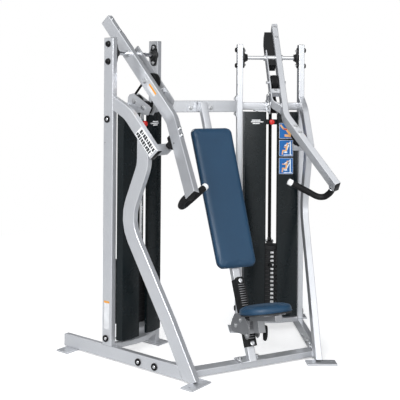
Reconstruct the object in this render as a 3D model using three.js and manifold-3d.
// Selectorised iso-lateral chest press machine, in millimetres: two splayed towers, each with a
// weight stack and a swinging press arm, and a seat on a leaning column between them.
// Machine frame: +Z up, front at -Y, +X towards the right-hand tower seen from the front.
//   The origin is on the floor, at the middle of the machine's width and depth. Parts are drawn
//   with y = 0 on the line between the outer posts; the whole group is shifted at the end.
// Tower frame: x forward, y from the outer post to the inner post, z up.
// Arm frame: x down the arm from the shaft, y as in the tower, z across the arm, forward and up.
// Column frame: x towards machine -X, y forward from the column's front face, z up the column.
import * as THREE from "three";
import { mergeVertices } from "three/addons/utils/BufferGeometryUtils.js";
import Module from "manifold-3d";

const wasm = await Module();
wasm.setup();

// ---------- driving dimensions ----------
const degrees = THREE.MathUtils.degToRad;
const GAP = 0.3; // clearance between neighbouring parts

// rectangular tube
const TUBE_W = 76;
const TUBE_T = 38;
const HALF_W = TUBE_W / 2;
const HALF_T = TUBE_T / 2;
const WALL = 3;
const TUBE_CORNER = 5;
const CAP_T = 4; // solid end of a closed tube

// machine frame
const SPLAY = degrees(25); // turn of each tower
const TOWER_X = 691; // outer post centre from the mid plane
const DEPTH_SHIFT = 224.58; // from the outer posts' line to the middle of the depth

// tower frame
const POST_GAP = 414; // between post centres
const POST_TOP = 1927;
const BETWEEN_Y0 = HALF_T + GAP; // clear space between the posts
const BETWEEN_Y1 = POST_GAP - HALF_T - GAP;
const FOOT_T = 10; // foot plates
const RAIL_Z0 = FOOT_T;
const RAIL_Z1 = RAIL_Z0 + TUBE_W;
const RAIL_REAR = -360;
const LEG_HALF_W = 43;
const SHAFT_X = 8.5;
const SHAFT_Z = 1838.6;
const SHAFT_R = 12.5;
const SHAFT_HOLE_R = SHAFT_R + GAP + 0.25;
const PULLEY_Y = 204;
const IDLER = [32, 1546]; // x, z of the tower pulley
const ANCHOR = [105, 1508]; // x, z of the fixed drum that ends the belt

// weight stack, tower frame
const STACK_Y = POST_GAP / 2;
const STACK_Z0 = 190;
const PLATE_PITCH = 27.4;
const PLATE_GAP = 1.2;
const LOWER_PLATES = 9;
const LIFTED_PLATES = 4;
const ALL_PLATES = LOWER_PLATES + LIFTED_PLATES;
const STACK_TOP = STACK_Z0 + ALL_PLATES * PLATE_PITCH;
const PIN_RISE = 13; // pin hole above the bottom of its plate
const ROD_YS = [STACK_Y - 88, STACK_Y + 88]; // guide rods

// arm
const LEAN = degrees(41.1); // from the vertical, at rest
const ARM_Y = 157; // centre plane of the arm tube
const ARM_CLEAR_Y = ARM_Y + HALF_T + GAP; // just clear of the tube's inner side
const ARM_BEND_X = 520; // the tube turns outward here
const ARM_BEND = 0.434; // radians
const STRAP_Y = 236; // centre plane of the inner strap
const STRAP_HALF_T = 4;
const ARM_PULLEY_X = 223;

// seat column, machine frame
const COL_LEAN = Math.atan(0.4213);
const COL_Y = -528; // foot of the column's front face
const COL_Z = 54;
const COL_TOP = 1540;
const COL_W = 50;
const COL_D = 38;
const BEAM_FRONT = 146; // front face of the rear beam
const BEAM_Z = 1511;
const BAR_Y = -478; // front crossbar
const BAR_Z = 27;

// ---------- solids ----------
const vec = (x, y, z) => new THREE.Vector3(x, y, z);
const vectors = (points) => points.map(([x, y]) => new THREE.Vector2(x, y));
const basis = (xAxis, yAxis, zAxis, origin) =>
  new THREE.Matrix4().makeBasis(xAxis, yAxis, zAxis).setPosition(origin);
const X_AXIS = vec(1, 0, 0);
const Y_AXIS = vec(0, 1, 0);
const Z_AXIS = vec(0, 0, 1);

const toSolid = (source, matrix) => {
  source.deleteAttribute("normal");
  source.deleteAttribute("uv");
  if (matrix) source.applyMatrix4(matrix);
  const { index, attributes } = mergeVertices(source, 1e-4);
  const triVerts = new Uint32Array(index.array);
  if (matrix && matrix.determinant() < 0) {
    // a mirroring matrix turns the triangles inside out
    for (let i = 0; i < triVerts.length; i += 3) {
      [triVerts[i + 1], triVerts[i + 2]] = [triVerts[i + 2], triVerts[i + 1]];
    }
  }
  const vertProperties = new Float32Array(attributes.position.array);
  return new wasm.Manifold(new wasm.Mesh({ numProp: 3, vertProperties, triVerts }));
};
const toGeometry = (solid) => {
  const { vertProperties, triVerts } = solid.getMesh();
  const indexed = new THREE.BufferGeometry();
  indexed.setAttribute("position", new THREE.BufferAttribute(vertProperties, 3));
  indexed.setIndex(new THREE.BufferAttribute(triVerts, 1));
  const geometry = indexed.toNonIndexed();
  geometry.computeVertexNormals();
  return geometry;
};
const placed = (solid, matrix) => toSolid(toGeometry(solid), matrix);
const join = (first, ...others) => others.reduce((sum, other) => sum.add(other), first);
const cut = (first, ...others) => others.reduce((rest, other) => rest.subtract(other), first);

const box = (x0, x1, y0, y1, z0, z1) =>
  toSolid(new THREE.BoxGeometry(x1 - x0, y1 - y0, z1 - z0)
    .translate((x0 + x1) / 2, (y0 + y1) / 2, (z0 + z1) / 2));

// cylinder, or cone, between two points
const rod = (start, end, radius, segments = 20, endRadius = radius) => {
  const from = vec(...start);
  const along = vec(...end).sub(from);
  const length = along.length();
  const turn = new THREE.Quaternion().setFromUnitVectors(Y_AXIS, along.normalize());
  return toSolid(new THREE.CylinderGeometry(endRadius, radius, length, segments)
    .translate(0, length / 2, 0)
    .applyQuaternion(turn)
    .translate(from.x, from.y, from.z));
};
const rodX = (y, z, x0, x1, ...size) => rod([x0, y, z], [x1, y, z], ...size);
const rodY = (x, z, y0, y1, ...size) => rod([x, y0, z], [x, y1, z], ...size);
const rodZ = (x, y, z0, z1, ...size) => rod([x, y, z0], [x, y, z1], ...size);

// solid of revolution about the y direction through (x, 0, z); profile points are (radius, y)
const turned = (profile, x, z, segments) =>
  toSolid(new THREE.LatheGeometry(vectors(profile), segments).translate(x, 0, z));

// outline extruded from z = 0; soft is the chamfer of the long edges
const prism = (outline, thickness, soft = 0) =>
  new THREE.ExtrudeGeometry(new THREE.Shape(vectors(outline)), {
    depth: thickness - 2 * soft,
    bevelEnabled: soft > 0,
    bevelSize: soft,
    bevelThickness: soft,
    bevelOffset: -soft,
    bevelSegments: 1,
  }).translate(0, 0, soft);
const plateXY = (outline, z0, z1, soft) =>
  toSolid(prism(outline, z1 - z0, soft).translate(0, 0, z0));
const plateXZ = (outline, y0, y1, soft) =>
  toSolid(prism(outline, y1 - y0, soft).rotateX(Math.PI / 2).translate(0, y1, 0));
const slab = (x0, x1, y0, y1, z0, z1, soft) =>
  plateXY([[x0, y0], [x1, y0], [x1, y1], [x0, y1]], z0, z1, soft);

// ---------- outlines ----------
const polar = ([x, y], radius, angle) =>
  [x + radius * Math.cos(angle), y + radius * Math.sin(angle)];
const arc = (centre, radius, from, to, steps) =>
  Array.from({ length: steps + 1 }, (_, i) =>
    polar(centre, radius, from + ((to - from) * i) / steps));
const around = (count, pointAt) =>
  Array.from({ length: count }, (_, i) => pointAt((i / count) * 2 * Math.PI));
const roundRect = (width, height, radius, steps) =>
  [[1, 1], [-1, 1], [-1, -1], [1, -1]].flatMap(([signX, signY], quarter) => {
    const centre = [signX * (width / 2 - radius), signY * (height / 2 - radius)];
    return arc(centre, radius, (quarter * Math.PI) / 2, ((quarter + 1) * Math.PI) / 2, steps);
  });

// polyline whose inner corners are rounded, one radius per corner
const fillet = (points, radii, steps) => {
  const path = vectors(points);
  const rounded = radii.flatMap((wanted, i) => {
    const corner = path[i + 1];
    const back = path[i].clone().sub(corner);
    const ahead = path[i + 2].clone().sub(corner);
    const backLength = back.length();
    const aheadLength = ahead.length();
    back.normalize();
    ahead.normalize();
    const half = Math.acos(THREE.MathUtils.clamp(back.dot(ahead), -1, 1)) / 2;
    const trim = Math.min(wanted / Math.tan(half), backLength * 0.9, aheadLength * 0.9);
    const radius = trim * Math.tan(half);
    const centre = back.clone().add(ahead).normalize()
      .multiplyScalar(radius / Math.sin(half)).add(corner);
    const from = corner.clone().addScaledVector(back, trim).sub(centre).angle();
    const to = corner.clone().addScaledVector(ahead, trim).sub(centre).angle();
    const sweep = THREE.MathUtils.euclideanModulo(to - from + Math.PI, 2 * Math.PI) - Math.PI;
    return arc(centre.toArray(), radius, from, from + sweep, steps);
  });
  return [points[0], ...rounded, points[points.length - 1]];
};

// closed band round a polyline, its ends lengthened by the two extensions
const band = (points, halfWidth, startExtra = 0, endExtra = 0) => {
  const path = vectors(points);
  const last = path.length - 1;
  const left = [];
  const right = [];
  path.forEach((point, i) => {
    const before = i > 0 && point.clone().sub(path[i - 1]).normalize();
    const after = i < last && path[i + 1].clone().sub(point).normalize();
    const inside = before && after;
    const along = inside ? before.clone().add(after).normalize() : before || after;
    const mitre = inside ? 1 / Math.max(0.3, along.dot(after)) : 1;
    const across = new THREE.Vector2(-along.y, along.x).multiplyScalar(halfWidth * mitre);
    const centre = point.clone();
    if (i === 0) centre.addScaledVector(along, -startExtra);
    if (i === last) centre.addScaledVector(along, endExtra);
    left.unshift(centre.clone().add(across).toArray());
    right.push(centre.clone().sub(across).toArray());
  });
  return right.concat(left);
};

// straight tube; width is measured along side, height across it
const tube = (start, end, side, width, height, solid = false) => {
  const from = vec(...start);
  const along = vec(...end).sub(from);
  const depth = along.length();
  along.normalize();
  const across = along.clone().cross(side).normalize();
  const shape = new THREE.Shape(vectors(roundRect(width, height, TUBE_CORNER, 2)));
  if (!solid) {
    const bore = roundRect(width - 2 * WALL, height - 2 * WALL, TUBE_CORNER - WALL, 1);
    shape.holes.push(new THREE.Path(vectors(bore).reverse()));
  }
  const geometry = new THREE.ExtrudeGeometry(shape, { depth, bevelEnabled: false });
  return toSolid(geometry, basis(side, across, along, from));
};

// hollow tube along a bent line, drawn with plateXY or plateXZ; the two extras lengthen the bore
const bentTube = (plate, line, halfWidth, [from, to], soft, boreExtras) => cut(
  plate(band(line, halfWidth), from, to, soft),
  plate(band(line, halfWidth - WALL, ...boreExtras), from + WALL, to - WALL),
);

// ---------- finishes ----------
const FINISHES = {
  silver: { color: 0xcfd2d6, roughness: 0.32, metalness: 0.35 },
  black: { color: 0x17191b, roughness: 0.45, metalness: 0.1 },
  shroud: { color: 0x14181a, roughness: 0.4, metalness: 0 },
  iron: { color: 0x1c1d1f, roughness: 0.6, metalness: 0.3 },
  chrome: { color: 0xe6e8ea, roughness: 0.12, metalness: 1 },
  rubber: { color: 0x101010, roughness: 0.85, metalness: 0 },
  nylon: { color: 0x1a1c1e, roughness: 0.5, metalness: 0 },
  red: { color: 0xc3282a, roughness: 0.4, metalness: 0 },
  blue: { color: 0x1f4668, roughness: 0.55, metalness: 0 },
  grey: { color: 0x85878d, roughness: 0.4, metalness: 0.4 },
};
// parts are rows of [name, function returning the solid, finish]
const addParts = (parent, parts, prefix = "") => {
  for (const [name, build, finish] of parts) {
    const material = new THREE.MeshStandardMaterial({ ...FINISHES[finish], name: finish });
    const mesh = new THREE.Mesh(toGeometry(build()), material);
    mesh.name = prefix + name;
    parent.add(mesh);
  }
};

// ---------- frames ----------
const ARM_AXIS = vec(Math.sin(LEAN), 0, -Math.cos(LEAN));
const armMatrix = basis(
  ARM_AXIS, Y_AXIS, vec(Math.cos(LEAN), 0, Math.sin(LEAN)), vec(SHAFT_X, 0, SHAFT_Z),
);
const armInverse = armMatrix.clone().invert();
const towerToArm = (x, y, z) => vec(x, y, z).applyMatrix4(armInverse);

const leftMatrix = new THREE.Matrix4()
  .makeRotationZ(SPLAY - Math.PI / 2)
  .setPosition(-TOWER_X, 0, 0);
const rightMatrix = new THREE.Matrix4().makeScale(-1, 1, 1).multiply(leftMatrix);
const atBothTowers = (solid) => [placed(solid, leftMatrix), placed(solid, rightMatrix)];

const columnMatrix = basis(
  vec(-1, 0, 0),
  vec(0, -Math.cos(COL_LEAN), Math.sin(COL_LEAN)),
  vec(0, Math.sin(COL_LEAN), Math.cos(COL_LEAN)),
  vec(0, COL_Y, COL_Z),
);

// ---------- tower frame parts ----------
const post = (y, bottom) => join(
  tube([0, y, bottom], [0, y, POST_TOP - 3], X_AXIS, TUBE_W, TUBE_T),
  tube([0, y, POST_TOP - CAP_T], [0, y, POST_TOP], X_AXIS, TUBE_W, TUBE_T, true),
);
// holes are [x, y, radius]
const footPlate = (x0, x1, y0, y1, holes) => cut(
  slab(x0, x1, y0, y1, 0, FOOT_T, 1.5),
  ...holes.map(([x, y, radius = 6]) => rodZ(x, y, -1, 12, radius)),
);
const outerUpright = () => post(0, RAIL_Z1 + GAP);
const innerUpright = () => join(
  post(POST_GAP, RAIL_Z0 - 2),
  footPlate(-78, 78, POST_GAP - 42, POST_GAP + 62,
    [[0, POST_GAP, 11], [62, POST_GAP + 46], [-62, POST_GAP + 46]]),
);

// side frame centre lines (x, z)
const LEG_LINE = fillet(
  [[274, 1360], [273, 1178], [138, 848], [456, 322], [584, 92], [634, 2]],
  [200, 240, 60, 60], 4,
);
const BRACE_LINE = fillet([[0, 1555], [150, 1480], [361, 1245]], [220], 5);

const baseRail = () => {
  const z = (RAIL_Z0 + RAIL_Z1) / 2;
  return cut(
    join(
      tube([RAIL_REAR + 2, 0, z], [620, 0, z], Y_AXIS, TUBE_T, TUBE_W),
      tube([RAIL_REAR, 0, z], [RAIL_REAR + CAP_T, 0, z], Y_AXIS, TUBE_T, TUBE_W, true),
      footPlate(-346, -250, -103, 62, [[-298, -72]]),
      box(-340, -256, -14, 14, 8, 12), // joins the foot to the rail
    ),
    plateXZ(band(LEG_LINE, LEG_HALF_W + GAP, 3, 3), -30, 30),
  );
};

const frontLeg = () => join(
  cut(
    bentTube(plateXZ, LEG_LINE, LEG_HALF_W, [-HALF_T, HALF_T], 2.5, [4, 4]),
    plateXZ(band(BRACE_LINE, HALF_W + GAP, 0, 6), -30, 30),
    box(40, 600, -40, 40, 1330, 1600), // trims the top
    box(500, 760, -40, 40, -30, FOOT_T - 0.5), // trims the bottom
  ),
  footPlate(628, 708, -102, 76, [[668, -72], [668, 52]]),
);

// bent brace with the cross tube that the arm bumper rests on
const upperBrace = () => {
  const stopSize = 50;
  const { x, z } = vec(653, 0, -87.4 - stopSize / 2).applyMatrix4(armMatrix);
  return join(
    cut(
      bentTube(plateXZ, BRACE_LINE, HALF_W, [-HALF_T, HALF_T], 2.5, [3, -3]),
      box(-60, HALF_W + GAP, -60, 60, 1300, 1700), // outer post
    ),
    tube([x, HALF_T - 2, z], [x, 112, z], ARM_AXIS, stopSize, stopSize),
  );
};

// y ranges centred on the stack and on the pulleys
const stackY = (half) => [STACK_Y - half, STACK_Y + half];
const pulleyY = (half) => [PULLEY_Y - half, PULLEY_Y + half];
const guideBores = (z0, z1, radius, segments) =>
  ROD_YS.map((y) => rodZ(0, y, z0, z1, radius, segments));

// bowed cross tube with a shelf and a raised channel under the stack
const towerBase = () => {
  const line = fillet([[18, 12], [74, STACK_Y], [18, POST_GAP - 12]], [260], 4);
  return cut(
    join(
      bentTube(plateXY, line, HALF_T, [66, 98], 2, [2, 2]),
      box(-40, 66, ...stackY(111), 92, 98),
      cut(box(-36, 36, ...stackY(95), 97, 172), box(-33, 33, ...stackY(99), 90, 169)),
    ),
    box(-42, 80, -30, BETWEEN_Y0, 0, 300),
    box(-42, 80, BETWEEN_Y1, POST_GAP + 60, 0, 300),
    ...guideBores(96, 200, 11),
  );
};

// side plate of the pulley bracket (x, z)
const BRACKET = [
  [-60, 1537], [-60, 1490], [27, 1487], [53, 1471], [145, 1463], [170, 1508],
  [150, 1524], [26, 1596], [-6, 1588], [-18, 1573], [-22, 1537],
];
const towerHead = () => join(
  tube([-41, BETWEEN_Y0, 1511.5], [-41, BETWEEN_Y1, 1511.5], X_AXIS, 38, 51),
  plateXZ(BRACKET, PULLEY_Y - 26, PULLEY_Y - 22),
  plateXZ(BRACKET, PULLEY_Y + 22, PULLEY_Y + 26),
  rodY(...IDLER, ...pulleyY(33), 8, 12),
  rodY(...ANCHOR, ...pulleyY(33), 8, 12),
  rodY(...ANCHOR, ...pulleyY(14), 37.4, 28), // fixed drum
);

const pivotShaft = () =>
  rodY(SHAFT_X, SHAFT_Z, HALF_T + 2, POST_GAP - HALF_T - 2, SHAFT_R, 16);

// flanged bearing standing off a post face; direction is +1 or -1 along y
const bearing = (face, direction) => {
  const y0 = Math.min(face, face + direction * 11);
  const y1 = y0 + 11;
  const ends = around(14, (turn) => {
    const angle = turn + 0.01; // keeps points off the boundary between the two ends
    return polar([SHAFT_X, SHAFT_Z + (Math.sin(angle) > 0 ? 48 : -48)], 21, angle);
  });
  const waist = around(14, (angle) => polar([SHAFT_X, SHAFT_Z], 36, angle));
  // radius, distance from the face
  const hub = [[0, 1], [34, 1], [34, 13], [22, 27], [21, 31], [0, 31]]
    .map(([radius, distance]) => [radius, face + direction * distance]);
  if (direction < 0) hub.reverse();
  return cut(
    join(
      plateXZ(ends, y0, y1, 1.5),
      plateXZ(waist, y0, y1),
      turned(hub, SHAFT_X, SHAFT_Z, 16),
    ),
    rodY(SHAFT_X, SHAFT_Z, face - 60, face + 60, SHAFT_HOLE_R, 16),
  );
};

// two rods and the plate across their tops
const guideRods = () => join(
  ...guideBores(98 + GAP, 1480, 9.5, 10),
  cut(box(-58, 24, ...stackY(111), 1478, 1485.6), rodZ(2, PULLEY_Y, 1470, 1490, 17)),
);

const range = (from, to) => Array.from({ length: to - from }, (_, i) => from + i);
const plateZ = (i) => STACK_Z0 + i * PLATE_PITCH;
const stackSlab = (z0, z1, soft) => slab(-50, 50, ...stackY(128), z0, z1, soft);
const stackPlate = (i) => stackSlab(plateZ(i), plateZ(i) + PLATE_PITCH - PLATE_GAP);
const stackCore = (z0, z1) => box(-44, 44, ...stackY(122), z0, z1);
const pinHole = (i) => rodX(STACK_Y, plateZ(i) + PIN_RISE, 10, 80, 5.6, 6);
const SELECTOR_Z = plateZ(LOWER_PLATES) + PIN_RISE;

const restingPlates = () => cut(
  join(
    stackCore(STACK_Z0 + 4, plateZ(LOWER_PLATES) - 4),
    ...range(0, LOWER_PLATES).map(stackPlate),
  ),
  ...guideBores(100, 700, 10.6, 8),
  rodZ(0, STACK_Y, 100, 700, 13.8, 10),
  ...range(1, LOWER_PLATES).map(pinHole),
);
const liftedPlates = () => cut(
  join(
    stackCore(plateZ(LOWER_PLATES) + 4, STACK_TOP + 4),
    ...range(LOWER_PLATES, ALL_PLATES).map(stackPlate),
    stackSlab(STACK_TOP, STACK_TOP + 30, 2), // head plate
    rodZ(0, STACK_Y, STACK_Z0 + 6, STACK_TOP + 4, 12.3, 10), // selector stem
    box(-16, 16, STACK_Y - 24, STACK_Y + 18, STACK_TOP + 28, STACK_TOP + 52), // belt block
  ),
  ...guideBores(300, 700, 10.6, 8),
  rodX(STACK_Y, SELECTOR_Z, -14, 80, 5.4, 12),
  ...range(LOWER_PLATES + 1, ALL_PLATES).map(pinHole),
);
const selectorPin = () => join(
  rodX(STACK_Y, SELECTOR_Z, -8, 62, 4.9, 12),
  rodX(STACK_Y, SELECTOR_Z, 51, 72, 13, 16, 11),
);

// grooved pulley; shoulder and floor are the groove's half widths at its rim and bottom
const pulley = (x, z, { groove, rim, half, shoulder, floor, segments }) => {
  const bore = 8.4;
  const side = [[bore, half], [rim, half], [rim, shoulder], [groove, floor]];
  const low = side.map(([radius, offset]) => [radius, PULLEY_Y - offset]);
  const high = side.map(([radius, offset]) => [radius, PULLEY_Y + offset]).reverse();
  return turned([...low, ...high, low[0]], x, z, segments);
};
const towerPulley = () => pulley(...IDLER, {
  groove: 37.6, rim: 40.6, half: 17, shoulder: 13.5, floor: 12, segments: 20,
});

// belt: up from the stack, round the tower pulley, over the arm pulley and down to the drum
const belt = () => {
  const nearRadius = 39.2; // belt centre line on the tower pulley and the drum
  const armRadius = 48.4; // and on the arm pulley
  const hub = vec(ARM_PULLEY_X, 0, 0).applyMatrix4(armMatrix);
  const armPulleyAt = [hub.x, hub.z];
  // direction from one centre to another, and the distance between them
  const between = ([x0, z0], [x1, z1]) =>
    [Math.atan2(z1 - z0, x1 - x0), Math.hypot(x1 - x0, z1 - z0)];
  const [upward, upLength] = between(IDLER, armPulleyAt);
  const [downward, downLength] = between(armPulleyAt, ANCHOR);
  const upTangent = upward + Math.acos((nearRadius - armRadius) / upLength);
  const downTangent = downward + Math.acos((armRadius - nearRadius) / downLength);
  const line = [
    [IDLER[0] - nearRadius, STACK_TOP + 53.5 + GAP],
    ...arc(IDLER, nearRadius, Math.PI, upTangent, 5),
    ...arc(armPulleyAt, armRadius, upTangent, downTangent, 12),
    ...arc(ANCHOR, nearRadius, downTangent, downTangent - 1.75, 6),
  ];
  return plateXZ(band(line, 1.2), ...pulleyY(9));
};

// outer shroud: flats bulging forward, and the lip at its free edge (x, y)
const SHROUD_LINE = [[41, 21], [80, 31], [94, 98], [91, 168]];
const SHROUD_LIP = [[91, 168], [74, 170]];
const shroud = (place) => {
  const sheet = (line, extra) => plateXY(band(line.map(place), 1.6, extra), 116, 1478);
  return join(sheet(SHROUD_LINE), sheet(SHROUD_LIP, 1));
};
const KNOB_Z = 1409;
const outerShroud = () => shroud((point) => point);
const innerShroud = () => join(
  shroud(([x, y]) => [x, 2 * STACK_Y - y]),
  cut( // bracket for the knob
    join(
      box(56, 71, 156, 246, KNOB_Z - 17, KNOB_Z + 17),
      box(60, 78, 243, 246, KNOB_Z - 17, KNOB_Z + 17),
    ),
    rodX(STACK_Y, KNOB_Z, 50, 90, 7.3, 16),
  ),
);
const addWeightKnob = () => join(
  rodX(STACK_Y, KNOB_Z, 44, 92, 7, 16),
  rodX(STACK_Y, KNOB_Z, 78, 110, 15, 24, 18),
);

// ---------- arm frame parts ----------
const bentArmY = (x) => ARM_Y - (x - ARM_BEND_X) * Math.tan(ARM_BEND);
const armShaftHole = () => rodY(0, 0, 100, 260, SHAFT_HOLE_R, 16);

const armTube = () => {
  const end = towerToArm(691, -92, 1047);
  const line = fillet([[-290, ARM_Y], [ARM_BEND_X, ARM_Y], [end.x, end.y]], [120], 6);
  return cut(
    bentTube(plateXY, line, HALF_T, [-HALF_W, HALF_W], 2.5, [-3, -3]),
    armShaftHole(),
  );
};

// flat strap beside the arm, with the pulley pin and two spacers
const armStrap = () => {
  const line = fillet([[-40, STRAP_Y], [405, STRAP_Y], [452, ARM_CLEAR_Y + 4]], [48], 6);
  return cut(
    join(
      plateXY(band(line, STRAP_HALF_T, 0, 6), -36, 36),
      rodY(ARM_PULLEY_X, 0, ARM_CLEAR_Y, STRAP_Y + 14, 8, 12),
      box(297, 330, ARM_CLEAR_Y, STRAP_Y - 2, -18, 24),
      box(430, 462, ARM_CLEAR_Y, ARM_Y + 28, -36, 36),
    ),
    armShaftHole(),
    box(-400, 900, 60, ARM_CLEAR_Y, -80, 80), // arm tube side
  );
};

const counterweight = () => {
  const strapSide = STRAP_Y - STRAP_HALF_T - GAP;
  const clearR = SHAFT_R + GAP + 0.4;
  const outline = [
    [-246, ARM_CLEAR_Y], [65, ARM_CLEAR_Y], [65, strapSide], [-43, strapSide],
    [-47, STRAP_Y], [-168, STRAP_Y], [-246, STRAP_Y - 8],
  ];
  return cut(
    plateXY(outline, -60, 2, 1.5),
    rodY(0, 0, 150, 260, clearR, 16),
    box(-clearR, clearR, 150, 260, 0, 60),
  );
};

const armPulley = () => pulley(ARM_PULLEY_X, 0, {
  groove: 46, rim: 50, half: 22, shoulder: 17, floor: 14, segments: 24,
});

// stop on the rear of the bent part of the arm: a long pad with a round nose
const armBumper = () => {
  const x = 655;
  const y = bentArmY(x);
  const cosBend = Math.cos(ARM_BEND);
  const sinBend = Math.sin(ARM_BEND);
  const pad = [[-44, -17.5], [44, -17.5], [44, 17.5], [-44, 17.5]].map(([along, across]) =>
    [x + along * cosBend + across * sinBend, y - along * sinBend + across * cosBend]);
  // radius, z
  const nose = [[0, -86.9], [16, -86.9], [19.5, -82], [19.5, -68], [18, -60], [0, -60]];
  const noseGeometry = new THREE.LatheGeometry(vectors(nose), 20)
    .rotateX(Math.PI / 2)
    .translate(x, y, 0);
  return join(plateXY(pad, -63, -38.3, 3), toSolid(noseGeometry));
};

const GRIP_START = towerToArm(574, 36, 998);
const GRIP_END = towerToArm(588, 173, 1069.5);
const GRIP_LENGTH = GRIP_START.distanceTo(GRIP_END);
const GRIP_AXIS = GRIP_END.clone().sub(GRIP_START).normalize();
const alongGrip = (distance) =>
  GRIP_START.clone().addScaledVector(GRIP_AXIS, distance).toArray();

// round bar bent from the rear of the arm to the grip, and the core inside the grip
const handleBar = () => {
  const rootX = 1022;
  const points = [
    [rootX, bentArmY(rootX), -HALF_W - GAP - 0.5], [rootX, bentArmY(rootX), -72],
    [1023, -65, -104], [1023.5, -44, -133], [1020, -17, -142.5],
    alongGrip(-32), alongGrip(0),
  ].map((point) => vec(...point));
  const section = new THREE.Shape();
  section.absarc(0, 0, 18.6, 0, 2 * Math.PI, false);
  const bend = new THREE.ExtrudeGeometry(section, {
    steps: 22,
    extrudePath: new THREE.CatmullRomCurve3(points, false, "centripetal"),
    curveSegments: 7,
    bevelEnabled: false,
  });
  return join(toSolid(bend), rod(alongGrip(-4), alongGrip(GRIP_LENGTH - 4), 15.5, 12));
};

// sleeve closed at its far end
const handleGrip = () => {
  const boreR = 15.8;
  const outerR = 19.4;
  // radius, distance along the grip
  const profile = [
    [boreR, 2], [18.5, 2], [outerR, 5], [outerR, GRIP_LENGTH - 4], [outerR, GRIP_LENGTH + 3],
    [17, GRIP_LENGTH + 6], [0, GRIP_LENGTH + 6], [0, GRIP_LENGTH], [boreR, GRIP_LENGTH],
    [boreR, 2],
  ];
  return toSolid(new THREE.LatheGeometry(vectors(profile), 16)
    .applyQuaternion(new THREE.Quaternion().setFromUnitVectors(Y_AXIS, GRIP_AXIS))
    .translate(...GRIP_START.toArray()));
};

// ---------- centre parts, machine frame ----------
// tube from tower to tower: clear is the tower-frame space cut from its ends,
// flange the tower-frame end plate, hole the z range of a drain hole
const crossTube = ({ halfLength, y, z, width, height, clear, flange, hole }) => cut(
  join(
    cut(
      tube([-halfLength, y, z], [halfLength, y, z], Y_AXIS, width, height),
      ...atBothTowers(clear),
    ),
    ...atBothTowers(flange),
  ),
  rodZ(60, y, ...hole, 5, 10),
);

const rearBeam = () => {
  const postFace = POST_GAP + HALF_T;
  const flange = [[-38, 1442], [38, 1442], [38, 1580], [-38, 1580]];
  const bottom = BEAM_Z - HALF_W;
  return crossTube({
    halfLength: 330,
    y: BEAM_FRONT + HALF_T,
    z: BEAM_Z,
    width: TUBE_T,
    height: TUBE_W,
    clear: box(-200, 200, 200, postFace + 4, 1300, 1700),
    flange: plateXZ(flange, postFace + GAP, postFace + 8, 1),
    hole: [bottom - 5, bottom + 8],
  });
};

const frontCrossbar = () => {
  const top = RAIL_Z1 - 2;
  const flange = [[474, RAIL_Z0], [600, RAIL_Z0], [600, 60], [560, top], [474, top]];
  return crossTube({
    halfLength: 560,
    y: BAR_Y,
    z: BAR_Z,
    width: TUBE_W,
    height: TUBE_T,
    clear: box(0, 900, -200, HALF_T + 4, -50, 200),
    flange: plateXZ(flange, HALF_T + GAP, HALF_T + 8, 1),
    hole: [0, 14],
  });
};

const seatColumn = () => {
  const length = (COL_TOP - COL_Z) / Math.cos(COL_LEAN);
  const y = -COL_D / 2;
  const raw = tube([0, y, -40], [0, y, length + 30], X_AXIS, COL_W, COL_D);
  const padBracket = (z) => placed(box(-62, 62, -0.5, 5, z, z + 40), columnMatrix);
  return join(
    cut(
      placed(raw, columnMatrix),
      box(-60, 60, -700, -300, -60, COL_Z - 4),
      box(-60, 60, 0, 300, COL_TOP, 1700),
    ),
    slab(-78, 78, BAR_Y - 50, BAR_Y + 42, COL_Z - 7.4, COL_Z, 1), // foot plate
    slab(-95, 95, BEAM_FRONT - 8, BEAM_FRONT - GAP, 1476, 1528), // plate at the beam
    box(-22, 22, 112, BEAM_FRONT - 6, 1482, 1522), // block behind the column's top
    padBracket(690),
    padBracket(1180),
  );
};

// toothed rack on the front of the column, with cheeks down the column's sides
const seatRack = () => {
  const bottom = 78;
  const top = 478;
  const cheekX = COL_W / 2 + GAP;
  const teeth = [];
  for (let z = 120; z < 436; z += 13.5) teeth.push(box(-21, 21, 15, 26, z, z + 6));
  const rack = cut(
    join(
      box(-28, 28, GAP, 16, bottom, top),
      box(-28, -20, 15, 28, bottom, top),
      box(20, 28, 15, 28, bottom, top),
      box(-21, 21, 14, 28, bottom, 112),
      box(-21, 21, 14, 28, 440, top),
      box(-29, -cheekX, -30, 2, bottom, top),
      box(cheekX, 29, -30, 2, bottom, top),
      ...teeth,
    ),
    // sloping top corners
    ...[1, -1].map((sign) =>
      plateXZ([[sign * 15, 480], [sign * 40, 480], [sign * 40, 452]], -60, 60)),
  );
  return placed(rack, columnMatrix);
};

// seat frame: x across, y rearward and down, z up from the middle of the pad
const SEAT_TILT = degrees(13.5);
const SEAT_T = 52;
const seatMatrix = basis(
  X_AXIS,
  vec(0, Math.cos(SEAT_TILT), -Math.sin(SEAT_TILT)),
  vec(0, Math.sin(SEAT_TILT), Math.cos(SEAT_TILT)),
  vec(0, -650, 380),
);

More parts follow.
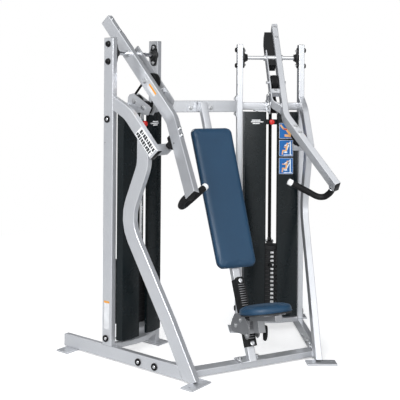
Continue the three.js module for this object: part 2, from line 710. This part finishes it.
// carriage side plate (y, z)
const CARRIAGE_SIDE = [
  [-346, 252], [-372, 290], [-422, 306], [-478, 300], [-520, 268], [-541, 236],
  [-532, 190], [-517, 176], [-500, 178], [-484, 196], [-350, 178], [-326, 206],
];
const seatCarriage = () => {
  const side = (x) => toSolid(prism(CARRIAGE_SIDE, 5), basis(Y_AXIS, Z_AXIS, X_AXIS, vec(x, 0, 0)));
  const underside = -SEAT_T / 2;
  return cut(
    join(
      side(-38),
      side(33),
      box(-34, 34, -536, -500, 214, 262), // cross block
      rodX(-352, 222, -36, 36, 8, 12), // pin behind the column
      placed(box(-22, 22, -128, 150, -62, underside - 5), seatMatrix), // bar under the seat
      placed(box(-70, 70, -96, 70, underside - 6, underside - GAP), seatMatrix), // seat plate
      placed(box(-22, 22, 60, 116, -130, -40), seatMatrix), // post under the bar
      box(-34, 34, -534, -506, 250, 286), // upper cross block
    ),
    placed(box(-32, 32, -60, 28.6, 60, 520), columnMatrix), // column and rack
  );
};

// bar beside the carriage with a flat paddle at its front end
const seatLever = () => {
  const paddleMatrix = basis(
    vec(0.2, -0.98, 0).normalize(),
    vec(0, 0, -1),
    vec(-0.98, -0.2, 0).normalize(),
    vec(52, -566, 246),
  );
  return join(
    rod([52, -470, 238], [52, -560, 214], 6, 12),
    rodX(-470, 238, 39, 56, 6, 12),
    placed(slab(-16, 16, -14, 74, -7, 7, 3), paddleMatrix),
  );
};

const seatPad = () => {
  const halfWidth = 146;
  const halfLength = 136;
  const power = 2.5; // superellipse exponent
  const outline = around(28, (angle) => {
    const x = Math.cos(angle);
    const y = Math.sin(angle);
    const scale = 1 / (Math.abs(x) ** power + Math.abs(y) ** power) ** (1 / power);
    return [halfWidth * scale * x, halfLength * scale * y];
  });
  return placed(plateXY(outline, -SEAT_T / 2, SEAT_T / 2, 10), seatMatrix);
};

const backPad = () => {
  const bottom = 534; // up the column
  const length = 890;
  const taper = 0.098; // a little wider at the shoulders
  const outline = roundRect(285, length, 42, 6)
    .map(([x, y]) => [x * (1 + (taper * y) / length), y + bottom + length / 2]);
  const lay = basis(vec(-1, 0, 0), Z_AXIS, Y_AXIS, vec(0, 5 + GAP, 0));
  return toSolid(prism(outline, 44, 8), columnMatrix.clone().multiply(lay));
};

// ---------- assembly ----------
const TOWER_PARTS = [
  ["outer_upright", outerUpright, "silver"],
  ["inner_upright", innerUpright, "silver"],
  ["base_rail", baseRail, "silver"],
  ["front_leg", frontLeg, "silver"],
  ["upper_brace", upperBrace, "silver"],
  ["tower_base", towerBase, "silver"],
  ["tower_head", towerHead, "silver"],
  ["pivot_shaft", pivotShaft, "chrome"],
  ["outer_bearing", () => bearing(BETWEEN_Y0, 1), "iron"],
  ["inner_bearing", () => bearing(BETWEEN_Y1, -1), "iron"],
  ["guide_rods", guideRods, "chrome"],
  ["resting_plates", restingPlates, "iron"],
  ["lifted_plates", liftedPlates, "iron"],
  ["selector_pin", selectorPin, "nylon"],
  ["tower_pulley", towerPulley, "nylon"],
  ["belt", belt, "rubber"],
  ["outer_shroud", outerShroud, "shroud"],
  ["inner_shroud", innerShroud, "shroud"],
  ["add_weight_knob", addWeightKnob, "red"],
];
const ARM_PARTS = [
  ["arm_tube", armTube, "silver"],
  ["arm_strap", armStrap, "silver"],
  ["counterweight", counterweight, "black"],
  ["arm_pulley", armPulley, "nylon"],
  ["arm_bumper", armBumper, "rubber"],
  ["handle_bar", handleBar, "black"],
  ["handle_grip", handleGrip, "rubber"],
];
const CENTRE_PARTS = [
  ["rear_beam", rearBeam, "silver"],
  ["front_crossbar", frontCrossbar, "silver"],
  ["seat_column", seatColumn, "silver"],
  ["seat_rack", seatRack, "black"],
  ["seat_carriage", seatCarriage, "grey"],
  ["seat_lever", seatLever, "black"],
  ["seat_pad", seatPad, "blue"],
  ["back_pad", backPad, "blue"],
];

// a tower standing in the left tower's place
const tower = (side) => {
  const frame = new THREE.Group();
  addParts(frame, TOWER_PARTS, `${side}_`);
  const arm = new THREE.Group();
  arm.applyMatrix4(armMatrix);
  addParts(arm, ARM_PARTS, `${side}_`);
  frame.add(arm);
  frame.applyMatrix4(leftMatrix);
  return frame;
};

const group = new THREE.Group();
group.name = "chest_press_machine";
group.add(tower("left"));
const mirror = new THREE.Group();
mirror.scale.set(-1, 1, 1);
mirror.add(tower("right"));
group.add(mirror);
addParts(group, CENTRE_PARTS);
group.position.set(0, DEPTH_SHIFT, 0);

export default group;
